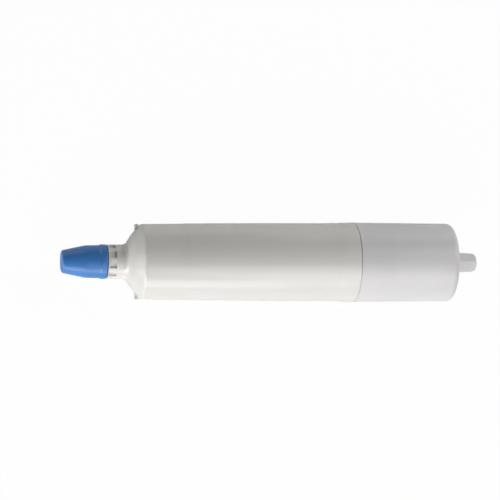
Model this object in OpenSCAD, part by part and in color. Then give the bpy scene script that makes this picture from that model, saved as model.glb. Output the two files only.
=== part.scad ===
// Slim refrigerator water filter cartridge, lying on its side.
// The axis is X. The origin is on the axis at the face of the neck that
// stops against the filter head. The nozzle points to -X, the grip post to +X.

/* [Neck] */
// Radius of the neck and of its plain collar
neck_r = 11.87; // [11.6:0.05:12.2]
// Length of the thin land at the front of the neck
neck_land = 1.0; // [0.6:0.1:1.4]
// Length of the pockets between the land and the collar
pocket_length = 4.1; // [3:0.1:4.1]
// Width of one pocket across the neck
pocket_width = 4.9; // [3:0.1:5.2]
// Depth of a pocket below the neck's surface
pocket_depth = 1.4; // [0.6:0.1:1.6]
// Number of pockets around the neck
pocket_count = 10; // [8:2:10]
// Where the neck ends and the shoulder starts
shoulder_x = 12.65; // [12.6:0.05:13]

/* [Body] */
// Where the shoulder changes slope
knee_x = 17.2; // [16:0.1:18]
// Radius at the change of slope
knee_r = 19.1; // [18:0.1:20]
// Where the shoulder meets the body
rim_x = 23.6; // [22.6:0.1:26]
// Radius of the body at the shoulder
body_front_r = 26.1; // [25.5:0.1:26.5]
// How much the body widens towards the weld
body_widening = 1.2; // [0.6:0.1:1.4]
// Extra radius of the flared end at the weld
weld_flare = 0.75; // [0.4:0.05:0.9]
// Length of the flared end
flare_length = 25; // [15:1:35]
// Position of the weld between housing and end cap
weld_x = 175; // [165:1:185]
// Wall thickness of the housing and the end cap
wall = 2.5; // [2:0.1:2.7]

/* [Lugs] */
// Length of a lug along the axis
lug_length = 3.3; // [2.5:0.1:3.6]
// Front face of a lug
lug_x = 19; // [18.6:0.1:19.4]
// Radius at the top of a lug
lug_r = 26.1; // [25:0.1:26.3]
// Width of a lug across the shoulder
lug_width = 6; // [4:0.5:8]

/* [Nozzle] */
// Radius of the inlet spigot
spigot_r = 9.3; // [9.1:0.1:9.4]
// Length of the inlet spigot in front of the neck
spigot_length = 11; // [10:0.5:11.5]
// Radius of the outlet tube
outlet_r = 5; // [4.8:0.1:5.2]
// Length of the outlet tube in front of the neck
outlet_length = 24.5; // [23:0.5:25]
// Radius of the water passage in the outlet tube
outlet_bore_r = 2.4; // [2:0.1:2.5]
// Radius of the wall around the inlet passage
inlet_r = 6.5; // [6.2:0.1:6.6]
// Webs that carry the outlet tube in the neck
web_count = 4; // [4:2:6]

/* [End cap] */
// Position of the flat end face
end_x = 246.7; // [236:0.1:256]
// Radius of the end cap at its end face
end_r = 27.5; // [27:0.1:27.9]
// Radius of the rounded edge of the end face
end_edge = 4; // [3:0.5:7]
// Depth of the groove along the weld
groove_depth = 0.8; // [0.4:0.1:1]
// Width of the groove along the weld
groove_width = 0.9; // [0.6:0.1:1.4]
// Standing ribs inside that hold the filter element
rib_count = 6; // [4:2:8]

/* [Grip post] */
// Length of the square grip post
post_length = 18.1; // [14:0.1:24]
// Width of the square across its flat sides
post_side = 10; // [9:0.1:10.2]
// Half the width across the corners at the root
post_root_r = 7.25; // [6.6:0.05:7.5]
// Half the width across the corners at the tip
post_tip_r = 6.35; // [6:0.05:6.5]
// Radius of the rounded edge of the tip
post_edge = 2.8; // [1:0.2:3.2]
// Turn of the square about the axis
post_turn = 38; // [0:1:90]

/* [Protective cap] */
// Length of the cap
cap_length = 31.3; // [31.3:0.1:33]
// Gap between the cap's rim and the neck
cap_gap = 0.4; // [0.2:0.1:1]
// Outside radius of the closed end
cap_tip_r = 7.75; // [7.7:0.05:8.2]
// Outside radius where the cone turns into the straight part
cap_knee_r = 11.2; // [11.2:0.05:11.4]
// Outside radius of the rim band
cap_rim_r = 11.93; // [11.8:0.01:12]
// Wall thickness of the cap
cap_wall = 1.15; // [1:0.05:1.2]

/* [Label] */
// Front edge of the wrap-around label
label_x = 54; // [50:1:60]
// Back edge of the label
label_end_x = 160.7; // [150:0.1:162]
// Thickness of the label film
label_film_t = 0.15; // [0.1:0.05:0.2]

/* [Filter element] */
// Outside radius of the carbon block
block_r = 20.8; // [19:0.1:21]
// Radius of the bore in the carbon block
block_bore_r = 6.6; // [6.3:0.1:7]
// Front end of the carbon block
block_x = 33.8; // [33:0.1:36]
// Length of the carbon block
block_length = 190; // [180:1:192]
// Thickness of the fleece around the block
fleece_t = 0.8; // [0.5:0.1:0.9]
// Thickness of the netting around the fleece
net_t = 0.4; // [0.3:0.1:0.5]
// Thickness of the glue under each end disc
glue_t = 0.8; // [0.5:0.1:1]

/* [Hidden] */

round_fn = 96;
arc_steps = 6;
// Stations along the body: in front of the label, under it and behind it
front_steps = 3;
label_steps = 8;
rear_steps = 6;
e = 0.01;

// Seals: [radius of the groove's floor, thickness of the ring, centre along X]
inlet_seal = [spigot_r - 1.75, 2.4, -5];
outlet_seal = [outlet_r - 1.35, 1.8, -19.4];
groove_side = 0.25;

// The socket inside the housing takes the spigot of the filter element
socket_x = 15;
socket_end_x = 27;
socket_r = 4.4;
socket_wall = 1.8;
spigot_bore_r = 2;
element_seal_t = 1.36;
element_seal_r = socket_r - element_seal_t - 0.02;
element_seal_x = [19.6, 23.2];
element_spigot_r = 4.2;
element_spigot_x = 17.5;

collar_x = neck_land + pocket_length;
neck_fillet = 4.4;
neck_bore_r = neck_r - wall;
inlet_wall_x = 1.5;
web_t = 1.2;
web_end_x = 9;
pocket_turn = 10;

block_end_x = block_x + block_length;
disc_r = block_r + fleece_t + net_t + 0.4;
disc_t = 2.8;
disc_x = block_x - glue_t - disc_t;
disc_end_x = block_end_x + glue_t + disc_t;
skirt_length = 4.2;
skirt_gap = 0.1;
boss_r = 7.6;
boss_length = 6.4;
core_t = 1.1;
core_fleece_t = 0.6;
core_hole_r = 1.1;
core_rows = 15;
net_rows = 12;
net_strand = 3;

rib_t = 1.6;
ring_r = 9.5;
pilot_length = 6;
pilot_gap = 0.1;
pilot_wall = 1.4;
core_pin_r = 2.8;
post_boss_r = 8.6;
post_boss_h = 1.2;

function unit(v) = v / norm(v);
function ease(t) = t <= 0 ? 0 : t >= 1 ? 1 : t * t * (3 - 2 * t);

// The points of an arc of radius r that rounds the corner b between a and c
function corner(a, b, c, r) =
    let (u = unit(a - b), v = unit(c - b), half = acos(u * v) / 2,
         centre = b + unit(u + v) * r / sin(half),
         arm = b + u * r / tan(half) - centre,
         way = sign(cross(arm, b + v * r / tan(half) - centre)))
    [for (i = [0:arc_steps]) let (t = way * (180 - 2 * half) * i / arc_steps)
        centre + [arm.x * cos(t) - arm.y * sin(t), arm.x * sin(t) + arm.y * cos(t)]];

// A path with the corner at each point rounded by the radius given for it
function rounded(path, radii) =
    [for (i = [0:len(path) - 1]) each radii[i] == 0 ? [path[i]]
        : corner(path[i - 1], path[i], path[i + 1], radii[i])];

function reversed(path) = [for (i = [len(path) - 1:-1:0]) path[i]];

// The path moved by d to the side of the axis, for a path that runs along +X
function side(a, b) = let (d = unit(b - a)) [d.y, -d.x];
function inset(path, d) =
    [for (i = [0:len(path) - 1])
        let (j = max(i - 1, 0), k = min(i, len(path) - 2),
             m = side(path[j], path[j + 1]) + side(path[k], path[k + 1]))
        path[i] + m * 2 * d / (m * m)];

// Outside radius of the body: it widens like a slow curve and flares at the weld
function body_r(x) =
    let (t = (x - rim_x) / (weld_x - rim_x))
    body_front_r + body_widening * (1 - (1 - t) * (1 - t))
        + weld_flare * ease((x - weld_x + flare_length) / flare_length);
function stations(x0, x1, steps) =
    [for (i = [0:steps]) let (x = x0 + (x1 - x0) * i / steps) [x, body_r(x)]];
function after_first(path) = [for (i = [1:len(path) - 1]) path[i]];
function body_path(end) =
    concat(stations(rim_x, label_x, front_steps),
           after_first(stations(label_x, label_end_x, label_steps)),
           after_first(stations(label_end_x, end, rear_steps)));

weld_r = body_r(weld_x);
weld_land_r = weld_r - groove_depth;
front_path = [[collar_x, neck_r], [shoulder_x, neck_r], [knee_x, knee_r]];
shell_path = concat(front_path, body_path(weld_x - groove_width / 2));
// The bore stops short of the weld, where a wider counterbore takes the end cap's pilot
pilot_r = weld_r - wall - pilot_gap;
counterbore_r = weld_r - wall;
counterbore_x = weld_x - pilot_length - 0.6;
shell_bore = inset(concat(front_path, body_path(counterbore_x - 0.4)), wall);
no_corners = [for (i = [1:front_steps + label_steps + rear_steps]) 0];

// Turns a path of [x, radius] points about the X axis
module turned(path)
    rotate([0, 90, 0]) rotate_extrude($fn = round_fn)
        polygon([for (p = path) [p.y, p.x]]);

module tube(x0, x1, r_out, r_in)
    turned([[x0, r_in], [x0, r_out], [x1, r_out], [x1, r_in]]);

module o_ring(seal)
    rotate([0, 90, 0]) rotate_extrude($fn = round_fn)
        translate([seal[0] + seal[1] / 2, seal[2]]) circle(d = seal[1], $fn = 32);

module seal_groove(seal, r_out)
    tube(seal[2] - seal[1] / 2 - groove_side, seal[2] + seal[1] / 2 + groove_side,
         r_out + 1, seal[0]);

module around(count, turn = 0)
    for (i = [0:count - 1]) rotate([turn + i * 360 / count, 0, 0]) children();

module housing() color("gainsboro") difference() {
    union() {
        neck_and_body();
        outlet_tube();
        around(web_count, 45) web();
        around(2, 90) lug();
    }
    seal_groove(inlet_seal, spigot_r);
    seal_groove(outlet_seal, outlet_r);
    around(pocket_count, pocket_turn)
        translate([neck_land, -pocket_width / 2, neck_r - pocket_depth])
            cube([pocket_length, pocket_width, pocket_depth + 1]);
}

module neck_and_body()
    turned(concat(
        [[-spigot_length, inlet_r], [-spigot_length, spigot_r - 0.8],
         [-spigot_length + 0.8, spigot_r], [0, spigot_r], [0, neck_r]],
        rounded(shell_path, concat([0, neck_fillet, 20, 5], no_corners)),
        [[weld_x - groove_width / 2, weld_land_r], [weld_x, weld_land_r]],
        [[weld_x, counterbore_r], [counterbore_x, counterbore_r]],
        reversed(rounded(shell_bore, concat([0, neck_fillet + wall, 17, 2.5], no_corners))),
        [[inlet_wall_x + 2, neck_bore_r], [inlet_wall_x, inlet_r]]));

module outlet_tube()
    turned([[-outlet_length, outlet_bore_r + 0.5], [-outlet_length, outlet_r - 0.6],
            [-outlet_length + 0.6, outlet_r], [socket_x - 1, outlet_r],
            [socket_x + 1, socket_r + socket_wall], [socket_end_x, socket_r + socket_wall],
            [socket_end_x, socket_r + 0.8], [socket_end_x - 1.4, socket_r],
            [socket_x, socket_r], [socket_x, outlet_bore_r],
            [-outlet_length + 0.5, outlet_bore_r]]);

// A web from the outlet tube to the spigot's wall and, behind the neck's face, to the neck's
module web()
    rotate([90, 0, 0]) linear_extrude(web_t, center = true)
        polygon([[-spigot_length + 0.5, outlet_r - 1], [-spigot_length + 0.5, inlet_r + 0.6],
                 [0.8, inlet_r + 0.6], [0.8, neck_bore_r + 0.6],
                 [web_end_x, neck_bore_r + 0.6], [web_end_x, outlet_r - 1]]);

module lug()
    rotate([90, 0, 0]) linear_extrude(lug_width, center = true)
        polygon([[lug_x, knee_r + 1], [lug_x, lug_r - 0.6], [lug_x + 0.6, lug_r],
                 [lug_x + lug_length, lug_r], [lug_x + lug_length, knee_r + 3.6]]);

module end_cap() color("lightgray") {
    difference() {
        union() {
            end_shell();
            grip_post();
        }
        translate([end_x - wall - 1, 0, 0]) rotate([0, 90, 0])
            cylinder(h = post_length - 3, r = core_pin_r, $fn = 48);
    }
    tube(disc_end_x + 2, end_x - wall + e, ring_r, boss_r + 0.3);
    around(rib_count)
        translate([disc_end_x + 0.2, -rib_t / 2, ring_r - 0.6])
            cube([end_x - wall - disc_end_x, rib_t, end_r - wall - ring_r + 1.2]);
}

module end_shell()
    turned(concat(
        rounded([[weld_x, weld_land_r - 1], [weld_x, weld_land_r],
                 [weld_x + groove_width / 2, weld_land_r],
                 [weld_x + groove_width / 2, weld_r], [weld_x + 5, weld_r - 0.1],
                 [end_x, end_r], [end_x, 0]],
                [0, 0, 0, 0, 0, end_edge, 0]),
        [[end_x - wall, 0]],
        rounded([[end_x - wall, 0], [end_x - wall, end_r - wall],
                 [weld_x + 5, pilot_r - 0.4], [weld_x - 1, pilot_r - pilot_wall],
                 [weld_x - pilot_length, pilot_r - pilot_wall],
                 [weld_x - pilot_length, pilot_r - 0.6],
                 [weld_x - pilot_length + 1, pilot_r], [weld_x, pilot_r]],
                [0, end_edge - wall, 0, 0, 0, 0, 0, 0])));

// A square post, its corners trimmed by a drafted round with a rounded tip
module grip_post() {
    intersection() {
        turned(concat([[end_x - wall, 0], [end_x - wall, post_root_r]],
            rounded([[end_x, post_root_r], [end_x + post_length, post_tip_r],
                     [end_x + post_length, 0]], [0, post_edge, 0])));
        rotate([post_turn, 0, 0])
            translate([end_x - wall, -post_side / 2, -post_side / 2])
                cube([wall + post_length + 1, post_side, post_side]);
    }
    turned([[end_x - 1, 0], [end_x - 1, post_boss_r], [end_x, post_boss_r],
            [end_x + post_boss_h * 0.3, post_boss_r - 0.9],
            [end_x + post_boss_h, post_boss_r - 1.6], [end_x + post_boss_h, 0]]);
}

cap_x = -cap_gap - cap_length;
cap_knee_x = -15.2;
cap_rim_x = -4.4;
cap_path = [[cap_x, 0], [cap_x, cap_tip_r], [cap_knee_x, cap_knee_r],
            [cap_rim_x - 1.4, cap_knee_r + 0.22], [cap_rim_x, cap_rim_r],
            [-cap_gap, cap_rim_r]];

module protective_cap() color("royalblue")
    turned(concat(
        rounded(concat(cap_path, [[-cap_gap, cap_rim_r - cap_wall]]),
                [0, 2.2, 15, 1, 1, 0.9, 0]),
        reversed(rounded(
            [[cap_x + cap_wall + 0.1, 0], [cap_x + cap_wall + 0.1, cap_tip_r - cap_wall + 0.2],
             [cap_knee_x, cap_knee_r - cap_wall + 0.1],
             [cap_rim_x, cap_knee_r + 0.25 - cap_wall],
             [cap_rim_x + 1.2, cap_rim_r - cap_wall - 0.05],
             [-cap_gap, cap_rim_r - cap_wall]],
            [0, 1, 12, 0, 0, 0]))));

module label_film() color("whitesmoke")
    turned(concat(
        [for (p = stations(label_x, label_end_x, label_steps)) p + [0, label_film_t]],
        reversed(stations(label_x, label_end_x, label_steps))));

module inlet_o_ring() color("black") o_ring(inlet_seal);

module outlet_o_ring() color("black") o_ring(outlet_seal);

module front_end_disc() color("white") difference() {
    union() {
        turned([[disc_x, 0], [disc_x, disc_r - 0.6], [disc_x + 0.6, disc_r],
                [disc_x + disc_t, disc_r], [disc_x + disc_t, 0]]);
        skirt(disc_x + disc_t - e, disc_x + disc_t + glue_t + skirt_length);
        turned([[element_spigot_x, 0], [element_spigot_x, element_spigot_r - 0.8],
                [element_spigot_x + 1.2, element_spigot_r],
                [disc_x - 2, element_spigot_r], [disc_x + e, element_spigot_r + 2],
                [disc_x + e, 0]]);
    }
    for (x = element_seal_x) seal_groove([element_seal_r, element_seal_t, x], element_spigot_r);
    translate([element_spigot_x - 1, 0, 0]) rotate([0, 90, 0])
        cylinder(h = block_x - element_spigot_x + 2, r = spigot_bore_r, $fn = 48);
}

module skirt(x0, x1) tube(x0, x1, disc_r, block_r + skirt_gap);

module front_spigot_o_ring() color("black")
    o_ring([element_seal_r, element_seal_t, element_seal_x[0]]);

module rear_spigot_o_ring() color("black")
    o_ring([element_seal_r, element_seal_t, element_seal_x[1]]);

module front_glue_ring() color("khaki")
    tube(block_x - glue_t, block_x, block_r, block_bore_r);

module rear_glue_ring() color("khaki")
    tube(block_end_x, block_end_x + glue_t, block_r, block_bore_r);

module carbon_block() color("dimgray")
    tube(block_x, block_end_x, block_r, block_bore_r);

module rear_end_disc() color("white") {
    turned([[block_end_x + glue_t, 0], [block_end_x + glue_t, disc_r],
            [disc_end_x - 0.6, disc_r], [disc_end_x, disc_r - 0.6], [disc_end_x, boss_r],
            [disc_end_x + boss_length - 0.8, boss_r],
            [disc_end_x + boss_length, boss_r - 0.8], [disc_end_x + boss_length, 0]]);
    skirt(block_end_x - skirt_length, block_end_x + glue_t + e);
}

// A perforated tube up the middle of the block, with holes in three directions
module core_tube() color("ivory") {
    core_r = block_bore_r - core_fleece_t;
    pitch = block_length / (core_rows + 1);
    difference() {
        tube(block_x - glue_t, block_end_x + glue_t, core_r, core_r - core_t);
        for (row = [1:core_rows], turn = [0, 60, 120])
            translate([block_x + row * pitch, 0, 0]) rotate([turn, 0, 0])
                cylinder(h = 2 * core_r + 1, r = core_hole_r, center = true, $fn = 24);
    }
}

module core_fleece() color("white")
    tube(block_x, block_end_x, block_bore_r, block_bore_r - core_fleece_t);

module prefilter_fleece() color("white")
    tube(block_x + skirt_length + 0.2, block_end_x - skirt_length - 0.2,
         block_r + fleece_t, block_r);

// The coarse netting: a thin sleeve with rows of windows right across it
module netting_sleeve() color("aliceblue") {
    net_x = block_x + skirt_length + 0.2;
    net_end_x = block_end_x - skirt_length - 0.2;
    net_r = block_r + fleece_t + net_t;
    pitch = (net_end_x - net_x - net_strand) / net_rows;
    difference() {
        tube(net_x, net_end_x, net_r, net_r - net_t);
        for (row = [0:net_rows - 1], turn = [0:36:144])
            translate([net_x + net_strand + row * pitch, 0, 0]) rotate([turn, 0, 0])
                translate([0, -5, -net_r - 1]) cube([pitch - net_strand, 10, 2 * net_r + 2]);
    }
}

housing();
end_cap();
protective_cap();
label_film();
inlet_o_ring();
outlet_o_ring();
front_end_disc();
front_spigot_o_ring();
rear_spigot_o_ring();
front_glue_ring();
carbon_block();
rear_glue_ring();
rear_end_disc();
core_tube();
core_fleece();
prefilter_fleece();
netting_sleeve();
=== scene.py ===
"""Looks of a slim water filter cartridge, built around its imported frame.

The axis is X, with the nozzle at -X and the grip post at +X. The cartridge lies
on its side and the camera looks down on it. Shapes are worked out in
millimetres as paths of (x, radius) points turned about X, and are put into the
meshes in metres.
"""

import math

import bpy
import numpy as np
from mathutils import Matrix, Vector


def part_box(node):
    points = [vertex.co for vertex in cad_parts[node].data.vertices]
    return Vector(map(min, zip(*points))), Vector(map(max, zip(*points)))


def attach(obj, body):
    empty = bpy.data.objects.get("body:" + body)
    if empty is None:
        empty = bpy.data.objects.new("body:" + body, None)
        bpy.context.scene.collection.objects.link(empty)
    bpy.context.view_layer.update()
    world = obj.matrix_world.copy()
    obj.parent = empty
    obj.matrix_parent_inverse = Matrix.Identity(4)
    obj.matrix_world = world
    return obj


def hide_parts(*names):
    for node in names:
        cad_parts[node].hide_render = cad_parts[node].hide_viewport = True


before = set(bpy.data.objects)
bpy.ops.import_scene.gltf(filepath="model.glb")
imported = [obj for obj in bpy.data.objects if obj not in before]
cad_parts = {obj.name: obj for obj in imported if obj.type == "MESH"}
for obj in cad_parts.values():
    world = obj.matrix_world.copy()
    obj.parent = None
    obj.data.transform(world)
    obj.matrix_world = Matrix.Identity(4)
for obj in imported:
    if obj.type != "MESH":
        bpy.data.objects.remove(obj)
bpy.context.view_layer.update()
MM = 0.001


def span(node):
    """Lowest x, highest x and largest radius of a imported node, in millimetres."""
    low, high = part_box(node)
    return low.x / MM, high.x / MM, high.y / MM


# Main sizes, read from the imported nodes
TUBE_TIP_X, WELD_X, WELD_R = span("housing")
CAP_TIP_X, CAP_RIM_X, CAP_RIM_R = span("protective_cap")
PILOT_X, POST_TIP_X, _ = span("end_cap")
LABEL_X, LABEL_END_X, _ = span("label_film")

# The rest of the outline, in millimetres
WALL = 2.5
NECK_R = 11.87
SPIGOT_R = 9.3
SPIGOT_LENGTH = 11.0
TUBE_R = 5.0
TUBE_BORE_R = 2.4
INLET_R = 6.5
SHOULDER_X = 12.65
NECK_FILLET = 4.4
KNEE_X = 17.2
KNEE_R = 19.1
RIM_X = 23.6
RIM_EDGE = 2.5
BODY_FRONT_R = 26.1
BODY_WIDENING = 1.2
WELD_FLARE = 0.75
FLARE_LENGTH = 25.0
GROOVE_DEPTH = 0.7
GROOVE_WIDTH = 0.75
END_X = 246.4
END_R = 27.6
END_EDGE = 4.0
POST_HALF_SIDE = 5.0
POST_ROOT_R = 7.25
POST_TIP_R = 6.35
POST_EDGE = 2.8
POST_TURN = math.radians(38)
POST_BOSS_R = 8.6
POCKETS = 10
POCKET_TURN = math.radians(10)
POCKET_X = 0.5
POCKET_LENGTH = 5.2
POCKET_WIDTH = 4.9
POCKET_DEPTH = 1.4
LUG_X = 19.5
LUG_LENGTH = 2.2
LUG_R = 26.1
LUG_WIDTH = 4.6
CAP_WALL = 1.15
CAP_TIP_R = 7.75
CAP_KNEE_X = -15.2
CAP_KNEE_R = 11.2
CAP_BAND_X = -4.4
FILM = 0.15
FILM_OVERLAP = 0.08

# Row spacing over the pockets and lugs, and where the body is plain enough to need no extra rows
FINE_STEP = 0.08
PLAIN_X = RIM_X + 8


# Paths

def ease(t):
    """0 below 0, 1 above 1, and 3t^2 - 2t^3 between them."""
    t = np.clip(t, 0, 1)
    return t * t * (3 - 2 * t)


def corner(before, at, after, radius, steps=8):
    """Points of the arc of that radius that touches both sides of a corner."""
    u = (before - at) / np.linalg.norm(before - at)
    v = (after - at) / np.linalg.norm(after - at)
    half = math.acos(np.clip(u @ v, -1, 1)) / 2
    centre = at + (u + v) / np.linalg.norm(u + v) * radius / math.sin(half)
    arm = at + u * radius / math.tan(half) - centre
    end = at + v * radius / math.tan(half) - centre
    way = math.copysign(1, arm[0] * end[1] - arm[1] * end[0])
    t = way * (math.pi - 2 * half) * np.arange(steps + 1) / steps
    turned = [arm[0] * np.cos(t) - arm[1] * np.sin(t), arm[0] * np.sin(t) + arm[1] * np.cos(t)]
    return centre + np.stack(turned, 1)


def rounded(path):
    """A path from (x, radius, corner radius) points, with each corner turned into an arc."""
    points = [np.array(p[:2], float) for p in path]
    out = []
    for i, p in enumerate(path):
        if len(p) > 2 and p[2] > 0:
            out.extend(corner(points[i - 1], points[i], points[(i + 1) % len(points)], p[2]))
        else:
            out.append(points[i])
    return np.array(out)


def held(path, gap=0.12, longest=4.0):
    """The path with more points on its long sides: one close to each end, so that the shading stays
    flat there, and others no further apart than the longest step."""
    out = [path[0]]
    for a, b in zip(path[:-1], path[1:]):
        length = np.linalg.norm(b - a)
        if length > 4 * gap:
            steps = np.linspace(gap, length - gap, max(2, math.ceil(length / longest) + 1))
            out.extend(a + (b - a) * s / length for s in steps)
        out.append(b)
    return np.array(out)


def inset(path, depth):
    """The path moved towards the axis by depth, with each corner moved along its mitre."""
    d = np.diff(path, axis=0)
    n = np.stack([d[:, 1], -d[:, 0]], 1) / np.linalg.norm(d, axis=1)[:, None]
    m = np.vstack([n[:1] * 2, n[:-1] + n[1:], n[-1:] * 2])
    return path + m * 2 * depth / (m * m).sum(1)[:, None]


def body_r(x):
    """Radius of the body: a slow parabola from the shoulder to the weld, and an eased flare at its
    end."""
    t = (x - RIM_X) / (WELD_X - RIM_X)
    flare = WELD_FLARE * ease((x - WELD_X + FLARE_LENGTH) / FLARE_LENGTH)
    return BODY_FRONT_R + BODY_WIDENING * (1 - (1 - t) ** 2) + flare


# Meshes

def evenly(count):
    """Angles all round, the same step apart."""
    return np.arange(count) * 2 * math.pi / count


def turned(path, angles, push=None):
    """Grid of points: a path point (x, r) at angle a goes to (x, r sin a, r cos a), so angle 0 is +Z and
    a quarter turn is +Y. push(x, r, a) gives the new radius of each."""
    x = np.repeat(path[:, :1], len(angles), 1)
    r = np.repeat(path[:, 1:], len(angles), 1)
    a = np.repeat(angles[None, :], len(path), 0)
    if push:
        r = push(x, r, a)
    return np.stack([x, r * np.sin(a), r * np.cos(a)], 2)


def skin(grid, start, loop=False):
    """Vertices and faces of a grid that closes round its second axis. With loop the path closes too.
    Otherwise each end of the path lies on the axis and becomes one pole."""
    rows, cols = grid.shape[:2]
    j = np.arange(cols)
    k = (j + 1) % cols
    if loop:
        points = grid.reshape(-1, 3)
        i = np.arange(rows)[:, None]
        n = (i + 1) % rows
        quads = np.stack([i * cols + j, i * cols + k, n * cols + k, n * cols + j], 2)
        return points, (quads.reshape(-1, 4) + start).tolist()
    inner = grid[1:-1].reshape(-1, 3)
    points = np.vstack([grid[0].mean(0)[None], inner, grid[-1].mean(0)[None]])
    i = np.arange(rows - 3)[:, None]
    quads = np.stack([i * cols + j, i * cols + k, (i + 1) * cols + k, (i + 1) * cols + j], 2) + 1
    last = 1 + (rows - 3) * cols
    first_fan = np.stack([np.zeros(cols, int), k + 1, j + 1], 1)
    last_fan = np.stack([np.full(cols, len(points) - 1), last + j, last + k], 1)
    faces = (quads.reshape(-1, 4) + start).tolist()
    return points, faces + (first_fan + start).tolist() + (last_fan + start).tolist()


def piece(name, shells, material, body, replaces, crease=40):
    """A mesh object from (grid, loop) shells in millimetres, smooth but for edges over the crease
    angle."""
    points, faces, start = [], [], 0
    for grid, loop in shells:
        p, f = skin(grid, start, loop)
        points.append(p)
        faces += f
        start += len(p)
    mesh = bpy.data.meshes.new(name)
    mesh.from_pydata((np.vstack(points) * MM).tolist(), [], faces)
    mesh.validate()
    mesh.shade_smooth()
    mesh.set_sharp_from_angle(angle=math.radians(crease))
    mesh.materials.append(material)
    obj = bpy.data.objects.new(name, mesh)
    bpy.context.scene.collection.objects.link(obj)
    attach(obj, body)
    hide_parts(*replaces)
    return obj


# Materials

def linear(hex_colour):
    """An sRGB hex colour such as #7f7f7f as linear RGBA."""
    s = np.array([int(hex_colour[i:i + 2], 16) for i in (1, 3, 5)]) / 255
    low = s <= 0.04045
    rgb = np.where(low, s / 12.92, ((s + 0.055) / 1.055) ** 2.4)
    return (*rgb, 1.0)


def add(tree, kind, settings=None, inputs=None):
    """Adds a node and sets its properties and sockets. A value that is a socket is linked."""
    node = tree.nodes.new(kind)
    for key, value in (settings or {}).items():
        setattr(node, key, value)
    for key, value in (inputs or {}).items():
        if isinstance(value, bpy.types.NodeSocket):
            tree.links.new(value, node.inputs[key])
        else:
            node.inputs[key].default_value = value
    return node


def new_material(name, **sockets):
    """A material with one Principled shader, and its tree, shader and Object coordinates."""
    material = bpy.data.materials.new(name)
    material.use_nodes = True
    tree = material.node_tree
    shader = next(n for n in tree.nodes if n.type == "BSDF_PRINCIPLED")
    for key, value in sockets.items():
        shader.inputs[key.replace("_", " ")].default_value = value
    place = add(tree, "ShaderNodeTexCoord").outputs["Object"]
    return material, tree, shader, place


def noise(tree, place, size_mm, detail=2.0):
    """Soft noise whose spots are about size_mm across."""
    made = add(tree, "ShaderNodeTexNoise", None,
               {"Vector": place, "Scale": 1 / (size_mm * MM), "Detail": detail})
    return made.outputs["Fac"]


def between(tree, fac, low, high):
    """Maps a value that runs from 0.3 to 0.7 to low and high."""
    made = add(tree, "ShaderNodeMapRange", None,
               {"Value": fac, "From Min": 0.3, "From Max": 0.7, "To Min": low, "To Max": high})
    return made.outputs["Result"]


def tint(tree, fac, first, second):
    """A colour between two hex colours."""
    made = add(tree, "ShaderNodeMix", {"data_type": "RGBA"},
               {0: fac, 6: linear(first), 7: linear(second)})
    return made.outputs[2]


def bump(tree, height, depth_mm, normal=None):
    """A bump whose full height is depth_mm."""
    inputs = {"Height": height, "Distance": depth_mm * MM, "Strength": 1.0}
    if normal:
        inputs["Normal"] = normal
    return add(tree, "ShaderNodeBump", None, inputs).outputs["Normal"]


def moulded_plastic(name, pale, deep, roughness, grain_mm, grain_depth, **sockets):
    """Injection-moulded plastic. Slow clouds in its colour come from the melt's flow, the fine grain
    from the spark-eroded or polished mould, and the roughness drifts with it."""
    material, tree, shader, place = new_material(name, **sockets)
    clouds = noise(tree, place, 30, 3)
    grain = noise(tree, place, grain_mm, 1)
    waves = noise(tree, place, 9, 1)
    tree.links.new(tint(tree, between(tree, clouds, 0, 1), pale, deep), shader.inputs["Base Color"])
    tree.links.new(between(tree, waves, roughness - 0.03, roughness + 0.03), shader.inputs["Roughness"])
    tree.links.new(bump(tree, grain, grain_depth, bump(tree, waves, 0.02)), shader.inputs["Normal"])
    return material


# Polypropylene, moulded in a polished mould: white with a warm tinge and a broad satin sheen
housing_plastic = moulded_plastic(
    "satin_white_polypropylene", "#e6e4e0", "#e2e0db", 0.24, 1.6, 0.002, Specular_IOR_Level=0.75,
    Subsurface_Weight=0.08, Subsurface_Radius=(0.004, 0.004, 0.003), Subsurface_Scale=1.0, IOR=1.49)

# The same plastic from a spark-eroded mould: cooler, and matt from a fine even grain
end_cap_plastic = moulded_plastic(
    "matt_white_polypropylene", "#e2e0e0", "#dddbdc", 0.38, 0.7, 0.012, Specular_IOR_Level=0.75,
    Subsurface_Weight=0.08, Subsurface_Radius=(0.004, 0.004, 0.004), Subsurface_Scale=1.0, IOR=1.49)

# Low-density polyethylene: waxy blue, with light that spreads a little under the surface
cap_plastic = moulded_plastic(
    "blue_polyethylene", "#4583c9", "#3d7bc2", 0.33, 1.1, 0.004, Specular_IOR_Level=0.6,
    Subsurface_Weight=0.15, Subsurface_Radius=(0.0005, 0.0015, 0.003), Subsurface_Scale=1.0, IOR=1.51)

# Polypropylene film: smoother and more even than the moulding that it is wrapped round
film_plastic = moulded_plastic(
    "bare_white_film", "#e5e3df", "#e3e1dd", 0.24, 6.0, 0.006, Specular_IOR_Level=0.75, IOR=1.49)

# Nitrile rubber: black and dull, with a trace of grease that evens its sheen
seal_rubber = moulded_plastic("black_nitrile_rubber", "#17181a", "#101113", 0.5, 0.5, 0.004, IOR=1.52)

# Polypropylene without pigment: milky
inner_plastic = moulded_plastic(
    "natural_polypropylene", "#e9e9e4", "#dededa", 0.42, 1.0, 0.004, IOR=1.49)

# Hot-melt glue: pale amber, glossy and wavy from setting in the air
glue = moulded_plastic("hot_melt_glue", "#dcc78f", "#cfb67a", 0.25, 3.0, 0.1, IOR=1.48)

# Pressed activated carbon: dull black with grit of about half a millimetre
carbon = moulded_plastic("pressed_carbon", "#17171a", "#232326", 0.85, 0.5, 0.15, IOR=1.6)

# Spun-bonded fleece: white, soft and fibrous
fleece = moulded_plastic("spun_bonded_fleece", "#eeeeea", "#e2e2de", 0.9, 0.35, 0.12, IOR=1.45)


# Housing

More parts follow.
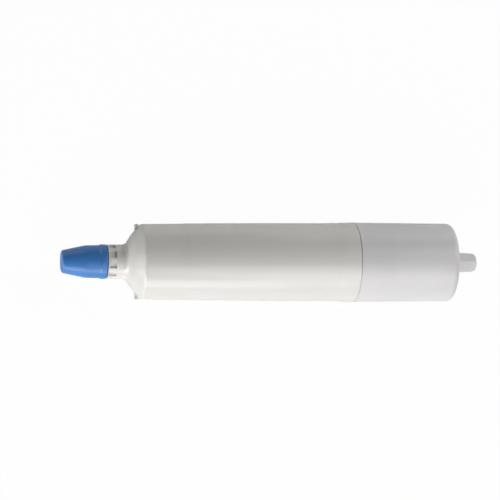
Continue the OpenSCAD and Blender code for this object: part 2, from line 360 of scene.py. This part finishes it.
def step_edge(distance, soft=0.22):
    """1 inside and 0 outside an edge, eased over its soft width. distance is positive inside."""
    return ease(distance / soft + 0.5)


def pocket_and_lug(x, r, a):
    """Radius of the housing's outside: pockets with parallel walls sink into the neck, and two lugs
    stand on the shoulder up to their own radius."""
    near = (a + POCKET_TURN + math.pi / POCKETS) % (2 * math.pi / POCKETS) - math.pi / POCKETS
    along = np.minimum(x - POCKET_X, POCKET_X + POCKET_LENGTH - x)
    across = POCKET_WIDTH / 2 - np.abs(r * np.sin(near))
    sunk = POCKET_DEPTH * step_edge(along) * step_edge(across)
    out = r - np.where((x > 0) & (x < SHOULDER_X), sunk, 0)
    half_turn = (a + math.pi) % math.pi - math.pi / 2
    side = LUG_WIDTH / 2 - np.abs(r * np.sin(half_turn))
    ahead = np.minimum(x - LUG_X, LUG_X + LUG_LENGTH - x)
    top = np.maximum(LUG_R - r, 0) * step_edge(ahead) * step_edge(side)
    return out + np.where((x > SHOULDER_X) & (x < WELD_X), top, 0)


def crowded(count, centres, half_width, extra=5, spread=0.02):
    """Even angles, with extra ones close to both edges of each feature of that half width."""
    near = np.linspace(-spread, spread, extra)
    edges = [c + side * half_width + near for c in centres for side in (-1, 1)]
    every = np.concatenate([evenly(count), *edges]) % (2 * math.pi)
    every = np.unique(np.round(every, 4))
    gaps = np.diff(np.append(every, every[0] + 2 * math.pi))
    return every[gaps > 0.002]


def housing_shell():
    """The closed path of the housing's wall: out along the spigot, neck, shoulder and body to the weld,
    and back along the bore."""
    front = [(POCKET_X + POCKET_LENGTH, NECK_R), (SHOULDER_X, NECK_R, NECK_FILLET), (KNEE_X, KNEE_R, 20)]
    body_x = np.linspace(RIM_X, WELD_X - GROOVE_WIDTH / 2, 60)
    body = np.stack([body_x, body_r(body_x)], 1)
    fine_x = np.arange(LUG_X - 0.4, LUG_X + LUG_LENGTH + 0.4, FINE_STEP)
    outer = rounded(front + [(RIM_X, BODY_FRONT_R, RIM_EDGE)] + [tuple(p) for p in body[2:]])
    shoulder = np.interp(fine_x, outer[:, 0], outer[:, 1])
    outer = np.vstack([outer, np.stack([fine_x, shoulder], 1)])
    outer = outer[np.argsort(outer[:, 0])]
    neck_x = np.arange(0.35, POCKET_X + POCKET_LENGTH + 0.5, FINE_STEP)
    neck = np.stack([neck_x, np.full(len(neck_x), NECK_R)], 1)
    outer = outer[outer[:, 0] > neck_x[-1]]
    counterbore = WELD_R - WALL
    bore_front = [(POCKET_X + POCKET_LENGTH, NECK_R), (SHOULDER_X, NECK_R), (KNEE_X, KNEE_R)]
    bore_x = np.linspace(RIM_X, WELD_X - 7, 12)
    bore = inset(np.vstack([bore_front, np.stack([bore_x, body_r(bore_x)], 1)]), WALL)
    lip = rounded([
        (-SPIGOT_LENGTH, INLET_R, 0.3), (-SPIGOT_LENGTH, SPIGOT_R, 0.8),
        (-6.45, SPIGOT_R, 0.15), (-6.45, SPIGOT_R - 1.75), (-3.55, SPIGOT_R - 1.75),
        (-3.55, SPIGOT_R, 0.15), (0, SPIGOT_R), (0, NECK_R, 0.2), (0.4, NECK_R)])
    weld = np.array([
        (WELD_X - GROOVE_WIDTH / 2, WELD_R - GROOVE_DEPTH), (WELD_X, WELD_R - GROOVE_DEPTH),
        (WELD_X, counterbore), (WELD_X - 6.6, counterbore)])
    inner = np.vstack([bore[::-1], [(3.5, NECK_R - WALL)], [(1.5, INLET_R)]])
    plain = outer[:, 0] > PLAIN_X
    return np.vstack([held(lip)[:-1], neck[1:], held(outer[~plain]), outer[plain], held(weld),
                      held(inner)])


def outlet_tube():
    """The closed path of the tube up the middle of the nozzle, with its socket inside the housing."""
    groove = TUBE_R - 1.35
    return held(rounded([
        (TUBE_TIP_X, TUBE_BORE_R, 0.4), (TUBE_TIP_X, TUBE_R, 0.6),
        (-20.55, TUBE_R, 0.1), (-20.55, groove), (-18.25, groove), (-18.25, TUBE_R, 0.1),
        (14, TUBE_R), (16, 6.2), (27, 6.2), (27, 5.2), (25.6, 4.4), (15, 4.4), (15, TUBE_BORE_R)]))


def web(turn):
    """One web between the tube and the neck: rings of four corners along X, which reach to the spigot's
    wall in front of the neck and to the neck's own wall behind its face."""
    reach = [(-SPIGOT_LENGTH + 0.5, INLET_R), (0.8, INLET_R), (0.8, NECK_R - WALL), (9, NECK_R - WALL)]
    low, half = TUBE_R - 1, 0.6
    rings = []
    for x, r in reach:
        corners = np.array([(low, -half), (r + 0.6, -half), (r + 0.6, half), (low, half)])
        y = corners[:, 1] * math.cos(turn) + corners[:, 0] * math.sin(turn)
        z = corners[:, 0] * math.cos(turn) - corners[:, 1] * math.sin(turn)
        rings.append(np.stack([np.full(4, x), y, z], 1))
    first, last = (np.repeat(r.mean(0)[None], 4, 0) for r in (rings[0], rings[-1]))
    return np.stack([first, *rings, last])


pocket_turns = evenly(POCKETS) - POCKET_TURN
lug_turns = np.array([0.5, 1.5]) * math.pi
around = np.concatenate([
    crowded(120, pocket_turns, POCKET_WIDTH / 2 / NECK_R),
    crowded(2, lug_turns, LUG_WIDTH / 2 / 24)])
around = np.unique(np.round(around, 3))
piece("housing_moulding",
      [(turned(housing_shell(), around, pocket_and_lug), True),
       (turned(outlet_tube(), evenly(72)), True)]
      + [(web(math.radians(45 + 90 * n)), False) for n in range(4)],
      housing_plastic, "cartridge", ["housing"])


# End cap

def square_r(a, half, edge):
    """Radius at angle a of a square of that half side whose corners are rounded by edge: the flat side
    is half / cos, and the corner is the far crossing of its circle."""
    folded = np.abs((a + POST_TURN + math.pi / 4) % (math.pi / 2) - math.pi / 4)
    flat = half / np.cos(folded)
    middle = (half - edge) * math.sqrt(2)
    off = math.pi / 4 - folded
    round_part = middle * np.cos(off) + np.sqrt(np.maximum(edge ** 2 - (middle * np.sin(off)) ** 2, 0))
    return np.where(half * np.tan(folded) <= half - edge, flat, round_part)


def post_shape(x, r, a):
    """Radius of the end cap's outside: round up to the foot of the post, and past it the square,
    trimmed by the round path, with the change eased over the foot."""
    grow = ease((x - END_X) / 1.1)
    square = np.minimum(square_r(a, POST_HALF_SIDE, 0.5), r)
    return np.where((x > END_X + 0.01) & (r < POST_BOSS_R + 0.1), r + (square - r) * grow, r)


def end_cap_shell():
    """The path of the end cap from the pole of its post, down its outside to the weld and round the
    pilot, and back along the inside to the axis."""
    pilot = WELD_R - WALL - 0.1
    return held(rounded([
        (POST_TIP_X, 0), (POST_TIP_X, POST_TIP_R, POST_EDGE), (END_X + 1.1, POST_ROOT_R, 0.5),
        (END_X, POST_BOSS_R, 0.9), (END_X, END_R, END_EDGE), (WELD_X + 5, WELD_R - 0.1, 60),
        (WELD_X + GROOVE_WIDTH / 2, WELD_R, 0.15), (WELD_X + GROOVE_WIDTH / 2, WELD_R - GROOVE_DEPTH),
        (WELD_X, WELD_R - GROOVE_DEPTH), (WELD_X, pilot), (PILOT_X + 1, pilot), (PILOT_X, pilot - 0.6),
        (PILOT_X, pilot - 1.4), (WELD_X - 1, pilot - 1.4), (WELD_X + 5, pilot - 0.4),
        (END_X - WALL, END_R - WALL, END_EDGE - WALL), (END_X - WALL, 0)]))


post_corners = evenly(4) - POST_TURN + math.pi / 4
end_angles = np.unique(np.round(crowded(144, post_corners, 0.06, 7, 0.06), 3))
piece("end_cap_moulding", [(turned(end_cap_shell()[::-1], end_angles, post_shape), False)],
      end_cap_plastic, "cartridge", ["end_cap"])


# Protective cap

def cap_shell():
    """The path of the protective cap from the pole of its closed end, along its cone and rim band, and
    back inside to the axis."""
    inside = CAP_TIP_X + CAP_WALL + 0.1
    return held(rounded([
        (CAP_TIP_X, 0), (CAP_TIP_X, CAP_TIP_R, 2.2), (CAP_KNEE_X, CAP_KNEE_R, 15),
        (CAP_BAND_X - 1.4, CAP_KNEE_R + 0.22, 1), (CAP_BAND_X, CAP_RIM_R, 1),
        (CAP_RIM_X, CAP_RIM_R, 0.9), (CAP_RIM_X, CAP_RIM_R - CAP_WALL, 0.2),
        (CAP_BAND_X + 1.2, CAP_RIM_R - CAP_WALL - 0.05),
        (CAP_BAND_X, CAP_KNEE_R + 0.25 - CAP_WALL), (CAP_KNEE_X, CAP_KNEE_R - CAP_WALL + 0.1, 12),
        (inside, CAP_TIP_R - CAP_WALL + 0.2, 1), (inside, 0)]))


piece("blue_protective_cap", [(turned(cap_shell(), evenly(144)), False)],
      cap_plastic, "cap", ["protective_cap"])


# Label film

def film_lap(x, r, a):
    """Radius of the film's outside, which rises by one more film thickness where its end laps over its
    start, underneath the cartridge."""
    lap = step_edge(0.12 - np.abs(a - math.pi), 0.02)
    return np.where(r > body_r(x) + FILM / 2, r + FILM_OVERLAP * lap, r)


film_x = np.linspace(LABEL_X, LABEL_END_X, 40)
film_out = np.stack([film_x, body_r(film_x) + FILM], 1)
film_in = np.stack([film_x, body_r(film_x)], 1)[::-1]
film_angles = np.unique(np.round(np.concatenate(
    [evenly(144), math.pi + np.linspace(-0.14, 0.14, 29)]), 3))
piece("bare_label_film", [(turned(np.vstack([film_out, film_in]), film_angles, film_lap), True)],
      film_plastic, "cartridge", ["label_film"])


# Seals

def ring(x, middle_r, thickness):
    """The closed path of a seal: a circle, with a small ridge where the mould parted."""
    t = np.linspace(0, 2 * math.pi, 33)[:-1]
    r = thickness / 2 + 0.02 * np.maximum(np.cos(4 * t) - 0.9, 0)
    return np.stack([x - r * np.cos(t), middle_r + r * np.sin(t)], 1)


for name in ("inlet_o_ring", "outlet_o_ring", "front_spigot_o_ring", "rear_spigot_o_ring"):
    x0, x1, r1 = span(name)
    thick = x1 - x0
    path = ring((x0 + x1) / 2, r1 - thick / 2, thick)
    piece("rubber_" + name, [(turned(path, evenly(96)), True)],
          seal_rubber, "cartridge", [name])

inner_finish = {
    "front_end_disc": inner_plastic, "rear_end_disc": inner_plastic, "core_tube": inner_plastic,
    "front_glue_ring": glue, "rear_glue_ring": glue, "carbon_block": carbon,
    "core_fleece": fleece, "prefilter_fleece": fleece, "netting_sleeve": inner_plastic}
for name, finish in inner_finish.items():
    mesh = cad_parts[name].data
    mesh.materials.clear()
    mesh.materials.append(finish)


# Studio

CAMERA_DISTANCE = 1600 * MM
CAMERA_YAW = math.radians(11.5)
CAMERA_AIM_X = 101 * MM
CAMERA_RISE = 8.4 * MM
CAMERA_ROLL = math.radians(0.22)
CAMERA_LENS = 164.7


def camera():
    """Looks down on the axis, turned so that the nozzle is nearer. The lens and distance are those at
    which the circles of the real one bulge as much as they do in the photograph."""
    data = bpy.data.cameras.new("camera")
    data.lens = CAMERA_LENS
    data.sensor_width = 36
    data.clip_start = 0.1
    data.clip_end = 20
    obj = bpy.data.objects.new("camera", data)
    bpy.context.scene.collection.objects.link(obj)
    right = Vector((math.cos(CAMERA_YAW), 0, math.sin(CAMERA_YAW)))
    up = Vector((0, 1, 0))
    back = right.cross(up)
    place = Vector((CAMERA_AIM_X, CAMERA_RISE, 0)) + back * CAMERA_DISTANCE
    turn = Matrix((right, up, back)).transposed() @ Matrix.Rotation(CAMERA_ROLL, 3, "Z")
    obj.matrix_world = Matrix.Translation(place) @ turn.to_4x4()
    bpy.context.scene.camera = obj


def floor_lean():
    """Slope of the surface that the cartridge rests on: the line under it that touches the flared end
    and the barrel of the body."""
    x = np.linspace(RIM_X, LABEL_END_X, 200)
    slopes = (WELD_R - body_r(x) - FILM * (x > LABEL_X)) / (WELD_X - x)
    return slopes.min()


def floor():
    """A wide matt white table. For the camera it is mostly plain white, with the rest of it left to the
    light so that it keeps a faint shadow."""
    size = 4.0
    slope = floor_lean()
    mesh = bpy.data.meshes.new("floor")
    corners = [(-size, -size), (size, -size), (size, size), (-size, size)]
    mesh.from_pydata([(x, y, -(WELD_R + slope * (x / MM - WELD_X)) * MM) for x, y in corners],
                     [], [(0, 1, 2, 3)])
    material, tree, shader, place = new_material("white_table", Roughness=0.9)
    shader.inputs["Base Color"].default_value = linear("#f2f2f2")
    shader.inputs["Specular IOR Level"].default_value = 0.1
    glow = add(tree, "ShaderNodeEmission", None, {"Color": (1, 1, 1, 1), "Strength": 1.0})
    seen = add(tree, "ShaderNodeLightPath").outputs["Is Camera Ray"]
    share = add(tree, "ShaderNodeMath", {"operation": "MULTIPLY"}, {0: seen, 1: FLOOR_WHITE})
    mix = add(tree, "ShaderNodeMixShader", None,
              {0: share.outputs[0], 1: shader.outputs[0], 2: glow.outputs[0]})
    out = next(n for n in tree.nodes if n.type == "OUTPUT_MATERIAL")
    tree.links.new(mix.outputs[0], out.inputs["Surface"])
    mesh.materials.append(material)
    obj = bpy.data.objects.new("floor", mesh)
    bpy.context.scene.collection.objects.link(obj)


FLOOR_WHITE = 0.97
LAMP_SIZE = 0.6
LAMP_DISTANCE = 1.2
LAMP_AIM = Vector((0.1, 0, 0))
# Elevation and azimuth in degrees, with azimuth 0 at the grip post and 90 at the back, and watts
LAMPS = [(5, 60, 2.3), (5, 120, 1.9), (5, 180, 2.1), (5, 210, 7.2), (20, 240, 4.7), (20, 270, 3.5),
         (38, 30, 4.9), (38, 300, 2.4), (60, 300, 2.0)]


def lamps():
    """Soft square lamps on a dome round the cartridge: most of the light comes low from the front and
    the nozzle's side, and the rest fills in from the back and the grip post's side."""
    for number, (elevation, azimuth, watts) in enumerate(LAMPS):
        rise, turn = math.radians(elevation), math.radians(azimuth)
        way = Vector((math.cos(rise) * math.cos(turn), math.cos(rise) * math.sin(turn), math.sin(rise)))
        data = bpy.data.lights.new(f"lamp_{number + 1}", "AREA")
        data.size = LAMP_SIZE
        data.energy = watts
        obj = bpy.data.objects.new(data.name, data)
        bpy.context.scene.collection.objects.link(obj)
        obj.location = LAMP_AIM + way * LAMP_DISTANCE
        obj.rotation_euler = way.to_track_quat("Z", "Y").to_euler()
        obj.visible_camera = False


def backdrop():
    """Plain white where the camera looks past the table, and no light of its own."""
    world = bpy.data.worlds.new("studio")
    bpy.context.scene.world = world
    world.use_nodes = True
    shader = next(n for n in world.node_tree.nodes if n.type == "BACKGROUND")
    seen = add(world.node_tree, "ShaderNodeLightPath").outputs["Is Camera Ray"]
    world.node_tree.links.new(seen, shader.inputs["Strength"])
    shader.inputs["Color"].default_value = (1, 1, 1, 1)


camera()
floor()
lamps()
backdrop()
bpy.context.scene.view_settings.view_transform = "Standard"
